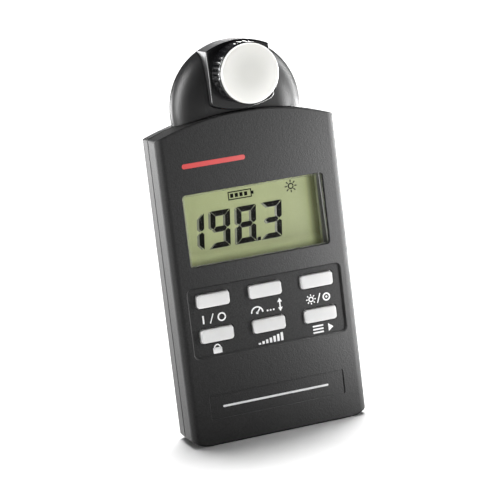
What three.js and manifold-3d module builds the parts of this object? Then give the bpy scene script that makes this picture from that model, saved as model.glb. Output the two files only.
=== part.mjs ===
// Handheld light meter: a flat two-shell case with a display and six keys, and a D shaped
// head on top whose sensor block carries a white diffuser in a knurled collar.
// Millimetres. +Z is up, the face looks along -Y, and the origin is the middle of the
// case's flat bottom.

import * as THREE from 'three';
import { ConvexGeometry } from 'three/addons/geometries/ConvexGeometry.js';
import { mergeVertices } from 'three/addons/utils/BufferGeometryUtils.js';
import Module from 'manifold-3d';

const wasm = await Module();
wasm.setup();

// ---------------------------------------------------------------- driving dimensions

const GAP = 0.3; // clearance between neighbouring pieces

// Case
const CASE_WIDTH = 62.9;
const CASE_DEPTH = 19.4;
const CASE_HEIGHT = 109.5; // bottom to the middle of the crowned top
const HALF_WIDTH = CASE_WIDTH / 2;
const FRONT = -CASE_DEPTH / 2;
const BACK = CASE_DEPTH / 2;
const PARTING = -0.8; // the plane where the front and rear shells meet
const CROWN_RADIUS = 90;
const FOOT_RADIUS = 9.2; // the rounded lower corners
const FOOT_FLAT = 25.2; // half the width of the flat bottom
const TOP_CORNER_RADIUS = 1.3;
const FRONT_EDGE_RADIUS = 2.6;
const BACK_EDGE_RADIUS = 3;
const REAR_DRAFT = 0.7; // how much the rear shell draws in towards its back
const WALL = 2;
const FACE_WALL = 1.8;
const INNER_FRONT = FRONT + FACE_WALL;
const INNER_BACK = BACK - FACE_WALL;

// Display
const WINDOW = { width: 49.6, height: 24.3, z: 72.7, radius: 1.2 };

// Keys
const KEY = { width: 11.6, height: 4.7, radius: 0.8, front: -9.9, back: -6.4 };
const KEY_COLUMNS = [-18.53, 0, 18.53];
const KEY_ROWS = [49, 37.15];
const KEY_FIELD = { width: 54.2, height: 23.3, z: 41.75, radius: 1.5, depth: 0.8 };
const KEY_NAMES = [
  ['key_power', 'key_auto', 'key_unit'],
  ['key_hold', 'key_range', 'key_memory'],
];

// Label recess
const LABEL = { width: 48.2, height: 8.2, z: 12.85, radius: 0.5, depth: 0.3 };

// Head
const HEAD_Z = 110.2; // height of the head's centre
const HEAD_RADIUS = 22.6;
const HEAD_FRONT = -8;
const HEAD_BACK = 6.8;
const HEAD_FLAT = 12.5; // radius of the flat part of each face
const HEAD_WALL = 1.8;
const NECK = { halfWidth: 16, front: -6.2, back: 5.8, wall: 1.5, bottom: 101.5 };
const NECK_FLANGE = { halfWidth: 18.5, front: -7.2, back: 6.8, low: 102.5, high: 105 };

// Sensor block and collar
const BLOCK = {
  halfWidth: 10.95, front: -10.35, back: -1.3, faceWall: 1.8, wall: 1.5,
  low: 110.1, shoulder: 113.5, top: 132.9, topRadius: 24, edge: 0.4,
};
const WING = { reach: 12.6, front: -4.9, back: -3.7, low: 114.6, high: 120 }; // key the block to the head
const SENSOR_Z = 122.3;
const TUBE = { outer: 8, inner: 6, front: -17.1 }; // carries the collar
const COLLAR = { radius: 10.2, front: -18.75, back: -10.65, ribs: 32, ribDepth: 0.45 };
const DIFFUSER = { radius: 9.8, front: -21, back: -19.05, spigot: 8.7 };

// Boards and battery
const BOARD = { halfWidth: 28.5, low: 22, high: 101, front: -2.2, back: -0.6 };
const CELL = { radius: 7.25, left: -24.4, right: 26.1, z: 11 };
const DOOR = { halfWidth: 26, low: 3.4, high: 18.6, radius: 1.5 };

// Screws: [x, z] of each axis
const CASE_SCREWS = [[-24.6, 98.5], [24.6, 98.5], [-24.6, 24.8], [24.6, 24.8]];
const HEAD_SCREWS = [[-13.6, 112], [13.6, 112]];
const BOSS_RADIUS = 3;
const CASE_SCREW = { headY: 7.4, tipY: -6.4, headRadius: 2.4, shankRadius: 1, headHeight: 1.6 };
const HEAD_SCREW = { headY: 4.9, tipY: -5.2, headRadius: 1.8, shankRadius: 0.7, headHeight: 1.2 };

// Display stack, front to back
const PANE = { width: 53.2, height: 27.7, radius: 1.5, thickness: 1 };
const FRAME = { width: 55.2, height: 30.2, radius: 1.5, front: -6.1 };
const LCD = { halfWidth: 26, halfHeight: 13.1, front: -5, back: -3.6 };
const STRIP = { halfWidth: 25.4, halfHeight: 0.8, offset: 12.1, front: -3.3, back: -2.5 };

// Keypad mat and its domes
const MAT = { width: 52, height: 22.4, radius: 1.5, front: -3.7, back: -2.5 };
const DOME = { width: 8, height: 3.8, front: -5.3, innerWidth: 6.4, innerHeight: 2.4, innerFront: -4.4 };
const KEY_FLANGE = { reach: 0.8, front: -7.4, back: -6.8 };
const KEY_STEM = { halfWidth: 2.5, halfHeight: 1.2 };

// ------------------------------------------------------------------- solids and meshes

function toSolid(geometry) {
  const plain = geometry.clone();
  plain.deleteAttribute('normal');
  plain.deleteAttribute('uv');
  const merged = mergeVertices(plain, 1e-5);
  return new wasm.Manifold(new wasm.Mesh({
    numProp: 3,
    vertProperties: new Float32Array(merged.attributes.position.array),
    triVerts: new Uint32Array(merged.index.array),
  }));
}

function toGeometry(solid) {
  const mesh = solid.getMesh();
  const geometry = new THREE.BufferGeometry();
  geometry.setAttribute('position', new THREE.BufferAttribute(new Float32Array(mesh.vertProperties), 3));
  geometry.setIndex(new THREE.BufferAttribute(new Uint32Array(mesh.triVerts), 1));
  return geometry;
}

function cut(solid, ...tools) {
  return tools.reduce((rest, tool) => rest.subtract(tool), solid);
}

function join(solid, ...others) {
  return others.reduce((sum, other) => sum.add(other), solid);
}

// The outline as plain points, without the doubled ones where its curves meet.
function tidyOutline(shape, segments) {
  const points = shape.getPoints(segments);
  const kept = points.filter((point, index) => {
    const previous = points[(index + points.length - 1) % points.length];
    return point.distanceTo(previous) > 1e-3;
  });
  return new THREE.Shape(kept);
}

// An outline in the XZ plane, drawn through the depth from y0 to y1.
function plate(shape, y0, y1, segments = 2) {
  const geometry = new THREE.ExtrudeGeometry(tidyOutline(shape, segments), {
    depth: y1 - y0, bevelEnabled: false,
  });
  geometry.rotateX(Math.PI / 2);
  geometry.translate(0, y1, 0);
  return toSolid(geometry);
}

// The same, with both edges rounded off by the given amount.
function softPlate(shape, y0, y1, edge, steps, segments = 2) {
  const geometry = new THREE.ExtrudeGeometry(tidyOutline(shape, segments), {
    depth: y1 - y0 - 2 * edge,
    bevelEnabled: true,
    bevelThickness: edge,
    bevelSize: edge,
    bevelOffset: -edge,
    bevelSegments: steps,
  });
  geometry.rotateX(Math.PI / 2);
  geometry.translate(0, y1 - edge, 0);
  return toSolid(geometry);
}

// The body that wraps convex outlines standing at several depths, each a [shape, y] pair.
function wrapped(sections, segments) {
  const points = sections.flatMap(([shape, y]) => (
    tidyOutline(shape, segments).getPoints().map((point) => new THREE.Vector3(point.x, y, point.y))
  ));
  return toSolid(new ConvexGeometry(points));
}

// An outline in the XY plane, drawn upwards from z0 to z1.
function column(shape, z0, z1, segments = 3) {
  const geometry = new THREE.ExtrudeGeometry(tidyOutline(shape, segments), {
    depth: z1 - z0, bevelEnabled: false,
  });
  geometry.translate(0, 0, z0);
  return toSolid(geometry);
}

function box(x0, x1, y0, y1, z0, z1) {
  const geometry = new THREE.BoxGeometry(x1 - x0, y1 - y0, z1 - z0);
  geometry.translate((x0 + x1) / 2, (y0 + y1) / 2, (z0 + z1) / 2);
  return toSolid(geometry);
}

// A round bar along Y.
function bar(radius, x, z, y0, y1, segments = 20) {
  const geometry = new THREE.CylinderGeometry(radius, radius, y1 - y0, segments);
  geometry.translate(x, (y0 + y1) / 2, z);
  return toSolid(geometry);
}

// A profile of [radius, y] points turned about a line along Y at height z.
function turned(profile, x, z, segments = 40) {
  const points = profile.map(([radius, y]) => new THREE.Vector2(radius, y));
  if (THREE.ShapeUtils.isClockWise(points)) {
    points.reverse();
  }
  const geometry = new THREE.LatheGeometry(points, segments);
  geometry.translate(x, 0, z);
  return toSolid(geometry);
}

function roundedRect(x, z, width, height, radius) {
  const left = x - width / 2;
  const low = z - height / 2;
  const shape = new THREE.Shape();
  shape.moveTo(left + radius, low);
  shape.lineTo(left + width - radius, low);
  shape.absarc(left + width - radius, low + radius, radius, -Math.PI / 2, 0);
  shape.lineTo(left + width, low + height - radius);
  shape.absarc(left + width - radius, low + height - radius, radius, 0, Math.PI / 2);
  shape.lineTo(left + radius, low + height);
  shape.absarc(left + radius, low + height - radius, radius, Math.PI / 2, Math.PI);
  shape.lineTo(left, low + radius);
  shape.absarc(left + radius, low + radius, radius, Math.PI, 1.5 * Math.PI);
  return shape;
}

const group = new THREE.Group();

function place(name, solid, color, roughness, metalness = 0) {
  const material = new THREE.MeshStandardMaterial({ color, roughness, metalness });
  const mesh = new THREE.Mesh(toGeometry(solid), material);
  mesh.name = name;
  group.add(mesh);
}

// --------------------------------------------------------------------- shared outlines

// The case seen from the front, made smaller all round by inset, with its bottom at height low.
function caseOutline(inset, low = inset) {
  const half = HALF_WIDTH - inset;
  const foot = FOOT_RADIUS - inset;
  const footZ = foot + low;
  const reach = Math.acos((half - FOOT_FLAT) / foot);
  const crown = CROWN_RADIUS - inset;
  const crownZ = CASE_HEIGHT - CROWN_RADIUS;
  const corner = Math.max(TOP_CORNER_RADIUS - inset, 0.4);
  const cornerX = half - corner;
  const cornerZ = crownZ + Math.sqrt((crown - corner) ** 2 - cornerX ** 2);
  const lean = Math.atan2(cornerZ - crownZ, cornerX);
  const shape = new THREE.Shape();
  shape.moveTo(-FOOT_FLAT, low);
  shape.lineTo(FOOT_FLAT, low);
  shape.absarc(FOOT_FLAT, footZ, foot, -Math.PI / 2, -reach);
  shape.absarc(cornerX, cornerZ, corner, 0, lean);
  shape.absarc(0, crownZ, crown, lean, Math.PI - lean);
  shape.absarc(-cornerX, cornerZ, corner, Math.PI - lean, Math.PI);
  shape.absarc(-FOOT_FLAT, footZ, foot, Math.PI + reach, 1.5 * Math.PI);
  return shape;
}

// The case seen from above: the front shell's section, made smaller by inset.
function frontSection(inset, parting) {
  const half = HALF_WIDTH - inset;
  const front = FRONT + (inset > 0 ? FACE_WALL : 0);
  const radius = Math.max(FRONT_EDGE_RADIUS - inset, 0.6);
  const shape = new THREE.Shape();
  shape.moveTo(half, parting);
  shape.lineTo(-half, parting);
  shape.absarc(-half + radius, front + radius, radius, Math.PI, 1.5 * Math.PI);
  shape.absarc(half - radius, front + radius, radius, 1.5 * Math.PI, 2 * Math.PI);
  return shape;
}

// The hollow of the rear shell seen from above.
function rearHollow(parting) {
  const half = HALF_WIDTH - WALL;
  const back = INNER_BACK;
  const radius = BACK_EDGE_RADIUS - WALL;
  const shape = new THREE.Shape();
  shape.moveTo(-half, parting);
  shape.lineTo(half, parting);
  shape.absarc(half - REAR_DRAFT - radius, back - radius, radius, 0, Math.PI / 2);
  shape.absarc(-half + REAR_DRAFT + radius, back - radius, radius, Math.PI / 2, Math.PI);
  return shape;
}

// The sensor block seen from the front, made larger all round by grow.
function blockOutline(grow) {
  const half = BLOCK.halfWidth + grow;
  const top = BLOCK.topRadius + grow;
  const turn = Math.asin(half / top);
  const shape = new THREE.Shape();
  shape.moveTo(half, BLOCK.shoulder);
  shape.absarc(0, BLOCK.top - BLOCK.topRadius, top, Math.PI / 2 - turn, Math.PI / 2 + turn);
  shape.lineTo(-half, BLOCK.shoulder);
  shape.quadraticCurveTo(-half, BLOCK.low + 2.1 - grow, -half + 3, BLOCK.low + 1.3 - grow);
  shape.quadraticCurveTo(0, BLOCK.low - 1.1 - grow, half - 3, BLOCK.low + 1.3 - grow);
  shape.quadraticCurveTo(half, BLOCK.low + 2.1 - grow, half, BLOCK.shoulder);
  return shape;
}

// ----------------------------------------------------------------------------- covers

function neckNotch(y0, y1) {
  return box(-NECK.halfWidth - GAP, NECK.halfWidth + GAP, y0, y1, 100, CASE_HEIGHT + 2);
}

function frontCover() {
  const edge = PARTING - GAP / 2;
  const outer = column(frontSection(0, edge), -1, CASE_HEIGHT + 1)
    .intersect(softPlate(caseOutline(0), FRONT, edge + 3, 0.6, 2, 6));
  const inner = column(frontSection(WALL, edge + 1), -1, CASE_HEIGHT + 1)
    .intersect(plate(caseOutline(WALL), INNER_FRONT - 1, edge + 2, 3));
  let cover = cut(
    outer,
    inner,
    plate(roundedRect(0, WINDOW.z, WINDOW.width, WINDOW.height, WINDOW.radius), FRONT - 1, INNER_FRONT + 1),
    plate(roundedRect(0, KEY_FIELD.z, KEY_FIELD.width, KEY_FIELD.height, KEY_FIELD.radius),
      FRONT - 1, FRONT + KEY_FIELD.depth),
    plate(roundedRect(0, LABEL.z, LABEL.width, LABEL.height, LABEL.radius), FRONT - 1, FRONT + LABEL.depth),
    neckNotch(NECK.front - GAP, edge + 1),
  );
  for (const x of KEY_COLUMNS) {
    for (const z of KEY_ROWS) {
      const hole = roundedRect(x, z, KEY.width + 2 * GAP, KEY.height + 2 * GAP, KEY.radius + GAP);
      cover = cover.subtract(plate(hole, FRONT - 1, INNER_FRONT + 1, 1));
    }
  }
  for (const [x, z] of CASE_SCREWS) {
    cover = join(cover, bar(BOSS_RADIUS, x, z, INNER_FRONT - 0.4, BOARD.front - GAP, 16));
    cover = cut(cover, bar(1.3, x, z, INNER_FRONT + 0.6, BOARD.front + 1, 8));
  }
  return cover;
}

function rearCover() {
  const edge = PARTING + GAP / 2;
  const rounding = [0, 1, 2, 3, 4].map((step) => {
    const angle = (step / 4) * Math.PI / 2;
    const round = BACK_EDGE_RADIUS * (1 - Math.cos(angle));
    return [caseOutline(REAR_DRAFT + round, round), BACK - BACK_EDGE_RADIUS * (1 - Math.sin(angle))];
  });
  const outer = wrapped([[caseOutline(0), edge], ...rounding], 4);
  const inner = column(rearHollow(edge - 1), -1, CASE_HEIGHT + 1)
    .intersect(plate(caseOutline(WALL), edge - 2, INNER_BACK + 1, 3));
  const bay = roundedRect(0, (DOOR.low + DOOR.high) / 2, 2 * DOOR.halfWidth + 2 * GAP,
    DOOR.high - DOOR.low + 2 * GAP, DOOR.radius + GAP);
  let cover = cut(
    outer,
    inner,
    neckNotch(edge - 1, NECK.back + GAP),
    plate(bay, INNER_BACK - 1, BACK + 1),
  );
  const bayRib = box(-16.5, 16.5, edge + 0.5, INNER_BACK + 0.4, 19.6, 20.9);
  const contactRibs = [
    box(27.1, 28.4, -3, INNER_BACK + 0.4, 3.6, 8),
    box(27.1, 28.4, -3, INNER_BACK + 0.4, 14, 18.2),
  ];
  cover = join(cover, bayRib, ...contactRibs);
  for (const [x, z] of CASE_SCREWS) {
    cover = join(cover, bar(BOSS_RADIUS + 0.5, x, z, BOARD.back + GAP, INNER_BACK + 0.4, 16));
    cover = cut(
      cover,
      bar(2.75, x, z, 5.5, BACK + 1, 16),
      bar(1.3, x, z, BOARD.back - 1, 6, 8),
    );
  }
  return cover;
}

function batteryCover() {
  const z = (DOOR.low + DOOR.high) / 2;
  const panel = plate(
    roundedRect(0, z, 2 * DOOR.halfWidth, DOOR.high - DOOR.low, DOOR.radius), BACK - 1.6, BACK);
  const thumbRecess = bar(5, 0, DOOR.high + 1.6, BACK - 0.8, BACK + 1, 28);
  const gripGrooves = [0, 1, 2, 3].map((row) => {
    const low = DOOR.low + 2.2 + 1.9 * row;
    return box(-7, 7, BACK - 0.5, BACK + 1, low, low + 0.9);
  });
  return cut(panel, thumbRecess, ...gripGrooves);
}

// ------------------------------------------------------------------------------- head

// A quarter ellipse from the rim at the parting plane to the flat face.
function cheekCurve(rim, flat, parting, face, steps = 6) {
  const points = [];
  for (let step = 0; step <= steps; step += 1) {
    const angle = (step / steps) * Math.PI / 2;
    points.push([flat + (rim - flat) * Math.cos(angle), parting + (face - parting) * Math.sin(angle)]);
  }
  return points;
}

function headHalf(parting, face, wall) {
  const inward = Math.sign(parting - face) * wall;
  const outer = cheekCurve(HEAD_RADIUS, HEAD_FLAT, parting, face);
  const inner = cheekCurve(HEAD_RADIUS - wall, HEAD_FLAT, parting, face + inward).reverse();
  const profile = [[0, face + inward], ...inner, ...outer, [0, face]];
  return turned(profile, 0, HEAD_Z, 48);
}

// The half of the neck between the parting plane and its outer wall.
function neckHalf(parting, outerY, flangeY) {
  const toward = Math.sign(outerY - parting);
  const span = (a, b) => [Math.min(a, b), Math.max(a, b)];
  const block = box(-NECK.halfWidth, NECK.halfWidth, ...span(parting, outerY), NECK.bottom, 112);
  const flange = box(-NECK_FLANGE.halfWidth, NECK_FLANGE.halfWidth, ...span(parting, flangeY),
    NECK_FLANGE.low, NECK_FLANGE.high);
  const hollow = box(-NECK.halfWidth + NECK.wall, NECK.halfWidth - NECK.wall,
    ...span(parting - toward, outerY - toward * NECK.wall), 90, 120);
  return join(block, flange).subtract(hollow);
}

function aboveCase(solid) {
  return solid.subtract(plate(caseOutline(-GAP), -12, 12, 16));
}

function headFrontShell() {
  const parting = PARTING - GAP / 2;
  const dome = aboveCase(headHalf(parting, HEAD_FRONT, HEAD_WALL));
  let shell = join(dome, neckHalf(parting, NECK.front, NECK_FLANGE.front));
  for (const [x, z] of HEAD_SCREWS) {
    shell = join(shell, bar(2.3, x, z, -6.6, parting - GAP, 12));
    shell = cut(shell, bar(1, x, z, -5.6, parting + 1, 8));
  }
  return shell.subtract(plate(blockOutline(GAP), -12, 0, 6));
}

function headRearShell() {
  const parting = PARTING + GAP / 2;
  const dome = aboveCase(headHalf(parting, HEAD_BACK, HEAD_WALL));
  let shell = join(dome, neckHalf(parting, NECK.back, NECK_FLANGE.back));
  for (const [x, z] of HEAD_SCREWS) {
    shell = join(shell, bar(2.9, x, z, parting + GAP, 5.6, 14));
    shell = cut(shell, bar(2.1, x, z, 3.4, 9, 14), bar(1, x, z, -3, 4, 8));
  }
  return shell;
}

function sensorBlock() {
  const face = BLOCK.front + BLOCK.faceWall;
  const innerHalf = BLOCK.halfWidth - BLOCK.wall;
  const body = softPlate(blockOutline(0), BLOCK.front, BLOCK.back + BLOCK.edge, BLOCK.edge, 1, 6)
    .intersect(box(-20, 20, -15, BLOCK.back, 100, 140));
  const hollow = plate(blockOutline(-BLOCK.wall), face, 0, 3);
  const wings = box(-WING.reach, WING.reach, WING.front, WING.back, WING.low, WING.high);
  const wingsHollow = box(-innerHalf, innerHalf, WING.front - 1, WING.back + 1, WING.low - 1, WING.high + 1);
  const tube = bar(TUBE.outer, 0, SENSOR_Z, TUBE.front, face, 32);
  const bore = bar(TUBE.inner, 0, SENSOR_Z, TUBE.front - 1, face + 1, 32);
  const shell = join(body.subtract(hollow), wings.subtract(wingsHollow), tube);
  return shell.subtract(bore);
}

function knurledCollar() {
  const ring = new THREE.Shape();
  const pitch = (2 * Math.PI) / COLLAR.ribs;
  const corners = [[0.05, 0], [0.25, 1], [0.55, 1], [0.75, 0]];
  for (let rib = 0; rib < COLLAR.ribs; rib += 1) {
    for (const [turn, height] of corners) {
      const angle = (rib + turn) * pitch;
      const radius = COLLAR.radius - COLLAR.ribDepth * (1 - height);
      const point = [radius * Math.cos(angle), SENSOR_Z + radius * Math.sin(angle)];
      if (ring.curves.length === 0 && rib === 0 && turn === corners[0][0]) {
        ring.moveTo(...point);
      } else {
        ring.lineTo(...point);
      }
    }
  }
  return cut(
    plate(ring, COLLAR.front, COLLAR.back),
    bar(TUBE.outer + GAP, 0, SENSOR_Z, COLLAR.front - 1, COLLAR.back + 1, 32),
    bar(DIFFUSER.spigot + GAP, 0, SENSOR_Z, COLLAR.front - 1, COLLAR.front + 1.5, 32),
  );
}

function diffuser() {
  const { radius, front, back, spigot } = DIFFUSER;
  const profile = [
    [0, front + 1.3],
    [spigot - 1.3, front + 1.5],
    [spigot - 1.3, back + 1.5],
    [spigot, back + 1.5],
    [spigot, back],
    [radius, back],
    [radius, front + 0.75],
    [radius - 0.3, front + 0.3],
    [radius * 0.6, front + 0.06],
    [0, front],
  ];
  return turned(profile, 0, SENSOR_Z, 36);
}

function filterGlass() {
  return bar(TUBE.inner - GAP, 0, SENSOR_Z, -12.4, -10.9, 20);
}

function photodiode() {
  const profile = [[0, -10.5], [4.1, -10.5], [4.1, -7.6], [4.7, -7.6], [4.7, -7], [0, -7]];
  return turned(profile, 0, SENSOR_Z, 20);
}

function sensorBoard() {
  return plate(roundedRect(0, 120.9, 17, 13.6, 1), -6.6, -5.4, 1);
}

// A flat ribbon from the sensor board, over the rear of the block and down the neck.
function sensorRibbon() {
  const stations = [
    [-4.6, 118.5], [-3.2, 116], [0.3, 113.5], [1.1, 109], [0.9, 104], [0.1, 99.5], [0.05, 94],
  ];
  const route = new THREE.SplineCurve(stations.map(([y, z]) => new THREE.Vector2(y, z)));
  const steps = 14;
  const thickness = 0.25;
  const width = 8;
  const near = [];
  const far = [];
  for (let step = 0; step <= steps; step += 1) {
    const at = step / steps;
    const point = route.getPoint(at);
    const along = route.getTangent(at);
    near.push([point.x, point.y]);
    far.push([point.x - along.y * thickness, point.y + along.x * thickness]);
  }
  const shape = new THREE.Shape([...near, ...far.reverse()].map(([y, z]) => new THREE.Vector2(y, z)));
  const geometry = new THREE.ExtrudeGeometry(shape, { depth: width, bevelEnabled: false });
  geometry.rotateX(Math.PI / 2);
  geometry.rotateZ(Math.PI / 2);
  geometry.translate(-width / 2, 0, 0);
  return toSolid(geometry);
}

// ---------------------------------------------------------------------------- display

function displayWindow() {
  const outline = roundedRect(0, WINDOW.z, PANE.width, PANE.height, PANE.radius);
  return plate(outline, INNER_FRONT + GAP, INNER_FRONT + GAP + PANE.thickness, 1);
}

function displayFrame() {
  const back = BOARD.front - GAP;
  return cut(
    plate(roundedRect(0, WINDOW.z, FRAME.width, FRAME.height, FRAME.radius), FRAME.front, back, 1),
    plate(roundedRect(0, WINDOW.z, 50.8, 25, 0.5), FRAME.front - 1, back + 1, 1),
    plate(roundedRect(0, WINDOW.z, 2 * LCD.halfWidth + 2 * GAP, 2 * LCD.halfHeight + 2 * GAP, 0.5),
      LCD.front - GAP, back + 1, 1),
  );
}

function lcdGlass() {
  return box(-LCD.halfWidth, LCD.halfWidth, LCD.front, LCD.back,
    WINDOW.z - LCD.halfHeight, WINDOW.z + LCD.halfHeight);
}

function contactStrip(z) {
  return box(-STRIP.halfWidth, STRIP.halfWidth, STRIP.front, STRIP.back,
    z - STRIP.halfHeight, z + STRIP.halfHeight);
}

// ------------------------------------------------------------------------------- keys

function keyCap(x, z) {
  const reach = 2 * KEY_FLANGE.reach;
  const cap = softPlate(roundedRect(x, z, KEY.width, KEY.height, KEY.radius),
    KEY.front, KEY_FLANGE.back - 0.2, 0.3, 1, 2);
  const flange = plate(roundedRect(x, z, KEY.width + reach, KEY.height + reach, 0.6),
    KEY_FLANGE.front, KEY_FLANGE.back, 1);
  const stem = box(x - KEY_STEM.halfWidth, x + KEY_STEM.halfWidth, KEY_FLANGE.back - 0.2, KEY.back,
    z - KEY_STEM.halfHeight, z + KEY_STEM.halfHeight);
  return join(cap, flange, stem);
}

function keypadMat() {
  const middle = (KEY_ROWS[0] + KEY_ROWS[1]) / 2;
  let mat = plate(roundedRect(0, middle, MAT.width, MAT.height, MAT.radius), MAT.front, MAT.back, 1);
  for (const x of KEY_COLUMNS) {
    for (const z of KEY_ROWS) {
      const dome = plate(roundedRect(x, z, DOME.width, DOME.height, 1.2), DOME.front, MAT.front + 0.2, 1);
      const hollow = plate(roundedRect(x, z, DOME.innerWidth, DOME.innerHeight, 0.8),
        DOME.innerFront, MAT.back + 0.5, 1);
      mat = cut(join(mat, dome), hollow);
    }
  }
  return mat;
}

// -------------------------------------------------------------------- board and battery

function mainBoard() {
  const outline = roundedRect(0, (BOARD.low + BOARD.high) / 2,
    2 * BOARD.halfWidth, BOARD.high - BOARD.low, 1.5);
  return cut(
    plate(outline, BOARD.front, BOARD.back, 1),
    ...CASE_SCREWS.map(([x, z]) => bar(1.6, x, z, -5, 2, 10)),
  );
}

function onBoard(x0, x1, depth, z0, z1) {
  return box(x0, x1, BOARD.back + GAP, BOARD.back + GAP + depth, z0, z1);
}

function crystalCan() {
  const can = new THREE.Shape();
  can.absarc(-2.8, 0, 1.9, Math.PI / 2, 1.5 * Math.PI);
  can.absarc(2.8, 0, 1.9, -Math.PI / 2, Math.PI / 2);
  const solid = plate(can, BOARD.back + GAP, BOARD.back + GAP + 3.4, 3);
  return solid.translate([14, 0, 64]);
}

function boostCoil() {
  const y = BOARD.back + GAP;
  return turned([[0, y], [3.6, y], [3.6, y + 0.9], [2.4, y + 0.9], [2.4, y + 3.6], [3.6, y + 3.6],
    [3.6, y + 4.5], [0, y + 4.5]], -14, 36, 18);
}

function batteryCell() {
  const { radius, left, right, z } = CELL;
  const shoulder = right - 1.3;
  const nub = 2.7;
  const profile = [
    [0, left], [radius - 1.6, left], [radius - 1.6, left + 0.3], [radius - 0.3, left + 0.3],
    [radius, left + 0.7], [radius, shoulder - 0.4], [radius - 0.4, shoulder], [nub, shoulder],
    [nub, right - 0.2], [nub - 0.3, right], [0, right],
  ];
  const points = profile.map(([r, x]) => new THREE.Vector2(r, x));
  const geometry = new THREE.LatheGeometry(points, 28);
  geometry.rotateZ(-Math.PI / 2);
  geometry.translate(0, 0, z);
  return toSolid(geometry);
}

// A wire of the given radius through the points.
function wire(points, radius, steps, sides) {
  const path = new THREE.CatmullRomCurve3(points.map((point) => new THREE.Vector3(...point)));
  const section = new THREE.Shape();
  section.absarc(0, 0, radius, 0, 2 * Math.PI);
  const geometry = new THREE.ExtrudeGeometry(section, {
    steps, extrudePath: path, bevelEnabled: false, curveSegments: sides,
  });
  return toSolid(geometry);
}

// The negative contact: a wire coil that widens towards its plate.
function batterySpring() {
  const turns = 3;
  const stepsPerTurn = 10;
  const points = [];
  for (let step = 0; step <= turns * stepsPerTurn; step += 1) {
    const at = step / (turns * stepsPerTurn);
    const angle = at * turns * 2 * Math.PI;
    const radius = 4.6 - 2 * at;
    points.push([-27.5 + 2.45 * at, radius * Math.cos(angle), CELL.z + radius * Math.sin(angle)]);
  }
  return wire(points, 0.35, turns * 12, 3);
}

function springPlate() {
  return box(-28.6, -28.2, -5, 5, CELL.z - 5, CELL.z + 5);
}

function positiveContact() {
  return box(26.4, 26.8, -4.5, 5.5, CELL.z - 4, CELL.z + 5.4);
}

function batteryLead(side, endX) {
  return wire([
    [side * endX, 6.3, 17.6], [side * 23, 6.4, 18.6], [side * 20, 5.6, 20.5],
    [side * 19, 3.4, 24], [side * 18.8, 1, 27.5], [side * 18.8, 0.4, 31],
  ], 0.55, 12, 3);
}

// ----------------------------------------------------------------------------- screws

// A pan head screw along Y: the head's outer face is at headY and the tip at tipY.
function screw(x, z, { headY, tipY, headRadius, shankRadius, headHeight }) {
  const under = headY - headHeight;
  const profile = [[0, tipY], [shankRadius * 0.4, tipY], [shankRadius, tipY + 1], [shankRadius, under],
    [headRadius, under], [headRadius, headY - 0.4], [headRadius - 0.4, headY], [0, headY]];
  const slotHalf = headRadius * 0.6;
  return cut(
    turned(profile, x, z, 12),
    box(x - slotHalf, x + slotHalf, headY - 0.8, headY + 1, z - 0.3, z + 0.3),
    box(x - 0.3, x + 0.3, headY - 0.8, headY + 1, z - slotHalf, z + slotHalf),
  );
}

// --------------------------------------------------------------------------- assembly

const CHARCOAL = 0x3a3a3b;
const GLOSS_BLACK = 0x121213;

place('front_cover', frontCover(), CHARCOAL, 0.55);
place('rear_cover', rearCover(), CHARCOAL, 0.55);
place('battery_cover', batteryCover(), CHARCOAL, 0.55);

place('head_front_shell', headFrontShell(), CHARCOAL, 0.5);
place('head_rear_shell', headRearShell(), CHARCOAL, 0.5);
place('sensor_block', sensorBlock(), GLOSS_BLACK, 0.35);
place('knurled_collar', knurledCollar(), GLOSS_BLACK, 0.15);
place('diffuser', diffuser(), 0xf2f2ee, 0.4);
place('filter_glass', filterGlass(), 0x7fae96, 0.05);
place('photodiode', photodiode(), 0xb9b9b4, 0.3, 0.9);
place('sensor_board', sensorBoard(), 0x2c6b3f, 0.5);
place('sensor_ribbon', sensorRibbon(), 0xc98a3a, 0.4);

place('display_window', displayWindow(), 0xdfe4df, 0.03);
place('display_frame', displayFrame(), GLOSS_BLACK, 0.5);
place('lcd_glass', lcdGlass(), 0xa5af82, 0.2);
place('contact_strip_lower', contactStrip(WINDOW.z - STRIP.offset), 0xb56a7a, 0.8);
place('contact_strip_upper', contactStrip(WINDOW.z + STRIP.offset), 0xb56a7a, 0.8);

KEY_ROWS.forEach((z, row) => {
  KEY_COLUMNS.forEach((x, columnIndex) => {
    place(KEY_NAMES[row][columnIndex], keyCap(x, z), 0xdcdcda, 0.45);
  });
});
place('keypad_mat', keypadMat(), 0x8c8f92, 0.8);

place('main_board', mainBoard(), 0x2c6b3f, 0.5);
place('processor_chip', onBoard(-6, 6, 1.6, 66, 78), 0x1c1c1e, 0.6);
place('crystal_can', crystalCan(), 0xc9c9cb, 0.25, 1);
place('boost_coil', boostCoil(), 0x2a2a2c, 0.7);
place('storage_capacitor', bar(3.1, 13, 35, BOARD.back + GAP, BOARD.back + GAP + 6, 24), 0x2b3d66, 0.4);

place('battery_cell', batteryCell(), 0xb9a05c, 0.35, 0.4);
place('battery_spring', batterySpring(), 0xcfcfd0, 0.25, 1);
place('spring_plate', springPlate(), 0xcfcfd0, 0.25, 1);
place('positive_contact', positiveContact(), 0xcfcfd0, 0.25, 1);
place('battery_lead_positive', batteryLead(1, 25.8), 0xb3201e, 0.5);
place('battery_lead_negative', batteryLead(-1, 27.2), 0x1b1b1b, 0.5);

CASE_SCREWS.forEach(([x, z], index) => {
  place(`case_screw_${index + 1}`, screw(x, z, CASE_SCREW), 0x3c3c3e, 0.3, 1);
});
HEAD_SCREWS.forEach(([x, z], index) => {
  place(`head_screw_${index + 1}`, screw(x, z, HEAD_SCREW), 0x3c3c3e, 0.3, 1);
});

export default group;
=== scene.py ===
"""Handheld light meter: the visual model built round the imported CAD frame.

Lengths in this file are millimetres until a mesh is made; Blender gets metres.
+Z is up and the face looks along -Y, as in the CAD.
"""
import math

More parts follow.
